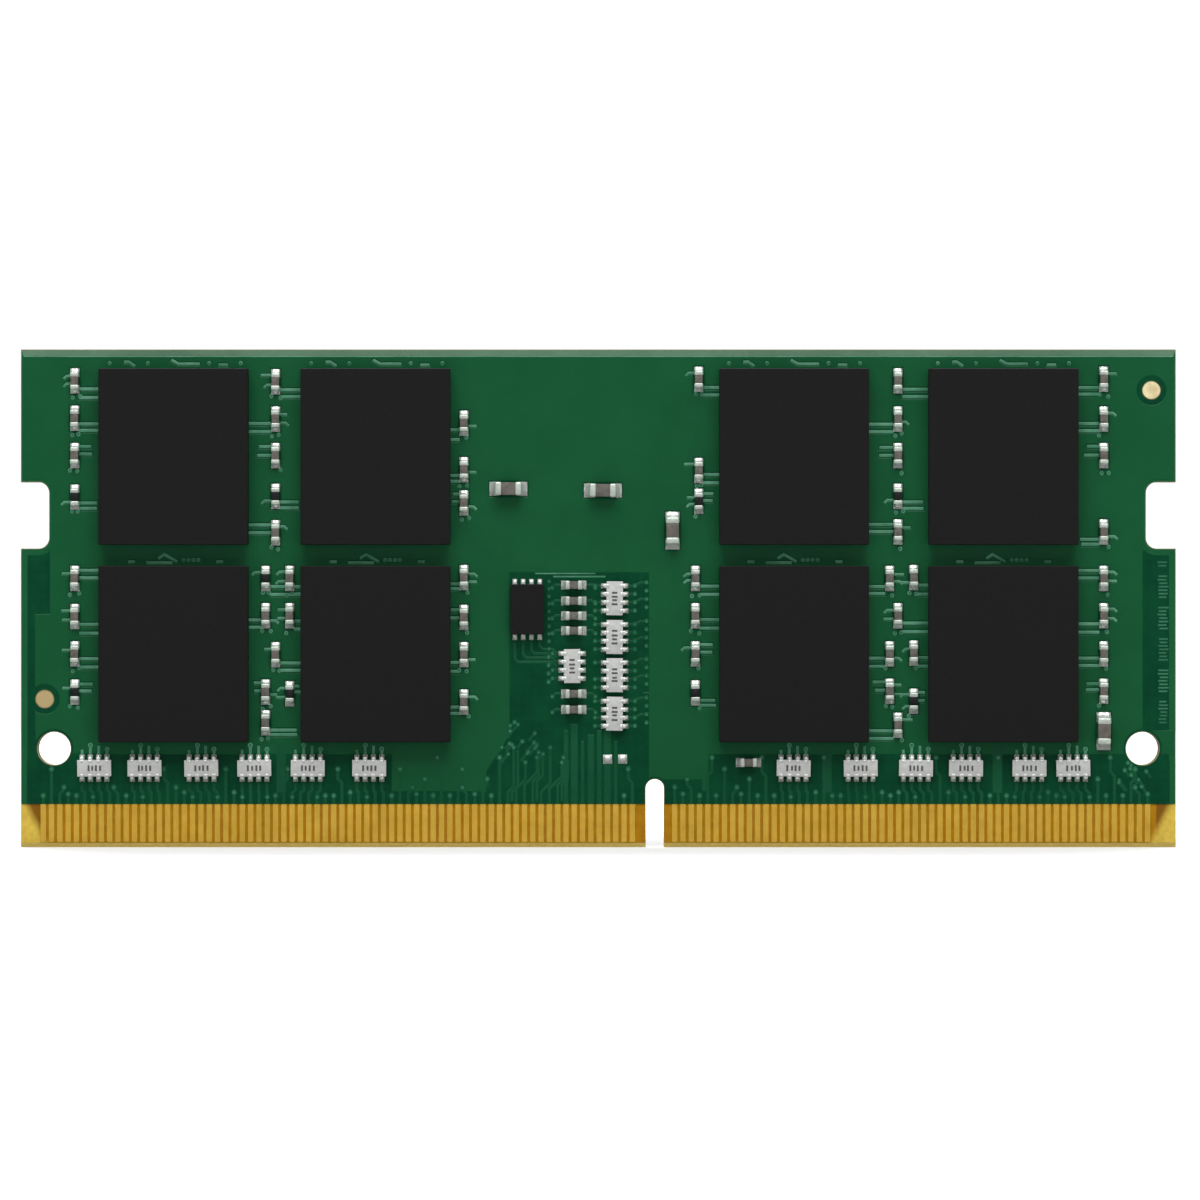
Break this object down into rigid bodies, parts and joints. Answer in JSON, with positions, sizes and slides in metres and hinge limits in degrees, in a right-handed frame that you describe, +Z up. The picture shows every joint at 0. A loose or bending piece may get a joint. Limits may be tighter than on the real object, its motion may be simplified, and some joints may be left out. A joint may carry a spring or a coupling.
{
  "type": "laptop memory module",
  "caption": "Small-outline memory module: a thin green board with a gold edge connector, black memory packages on both faces and rows of small chip parts.",
  "frame": {"origin": "middle of the bottom contact edge, half way through the board's thickness", "axes": "+X along the board towards the key notch's side, +Z up from the contacts to the top edge, -Y out of the front face"},
  "size_m": [0.0696, 0.0036, 0.03],
  "materials": {
    "laminate": "bare glass-fibre laminate, fine weave",
    "inner_copper": "matt rolled copper",
    "land_copper": "gold-flashed copper",
    "solder_mask": "green semi-gloss solder mask",
    "contact_gold": "plated gold, satin",
    "solder": "bright reflowed solder",
    "tinned_metal": "tin-plated terminals",
    "package_substrate": "dark green masked laminate",
    "silicon": "polished silicon",
    "mould_compound": "fine-textured black moulding compound",
    "array_ceramic": "pale ceramic with a satin glaze",
    "capacitor_ceramic": "grey-brown fired ceramic",
    "resistor_coating": "black glass coat"
  },
  "bodies": {
    "root": {"laminate_core": "laminate", "ground_plane": "inner_copper", "power_plane": "inner_copper", "prepreg_front": "laminate", "prepreg_back": "laminate", "copper_pour_front": "inner_copper", "copper_pour_back": "inner_copper", "copper_lands_front": "land_copper", "copper_lands_back": "land_copper", "solder_mask_front": "solder_mask", "solder_mask_back": "solder_mask", "edge_contacts_front_left": "contact_gold", "edge_contacts_front_right": "contact_gold", "edge_contacts_back_left": "contact_gold", "edge_contacts_back_right": "contact_gold", "fiducials": "contact_gold", "spare_lands": "solder", "package_substrates_front": "package_substrate", "package_substrates_back": "package_substrate", "silicon_dies_front": "silicon", "silicon_dies_back": "silicon", "solder_balls_front": "solder", "solder_balls_back": "solder", "spd_chip_body": "mould_compound", "spd_chip_leads": "tinned_metal", "resistor_array_bodies_front": "array_ceramic", "resistor_array_bodies_back": "array_ceramic", "resistor_array_leads_front": "tinned_metal", "resistor_array_leads_back": "tinned_metal", "capacitor_bodies_front": "capacitor_ceramic", "capacitor_bodies_back": "capacitor_ceramic", "capacitor_terminals_front": "tinned_metal", "capacitor_terminals_back": "tinned_metal", "resistor_bodies_front": "resistor_coating", "resistor_bodies_back": "resistor_coating", "resistor_terminals_front": "tinned_metal", "resistor_terminals_back": "tinned_metal", "bulk_capacitor_bodies": "capacitor_ceramic", "bulk_capacitor_terminals": "tinned_metal", "solder_joints_front": "solder", "solder_joints_back": "solder", "dram_package_front_1": "mould_compound", "dram_package_front_2": "mould_compound", "dram_package_front_3": "mould_compound", "dram_package_front_4": "mould_compound", "dram_package_front_5": "mould_compound", "dram_package_front_6": "mould_compound", "dram_package_front_7": "mould_compound", "dram_package_front_8": "mould_compound", "dram_package_back_1": "mould_compound", "dram_package_back_2": "mould_compound", "dram_package_back_3": "mould_compound", "dram_package_back_4": "mould_compound", "dram_package_back_5": "mould_compound", "dram_package_back_6": "mould_compound", "dram_package_back_7": "mould_compound", "dram_package_back_8": "mould_compound"}
  },
  "joints": []
}
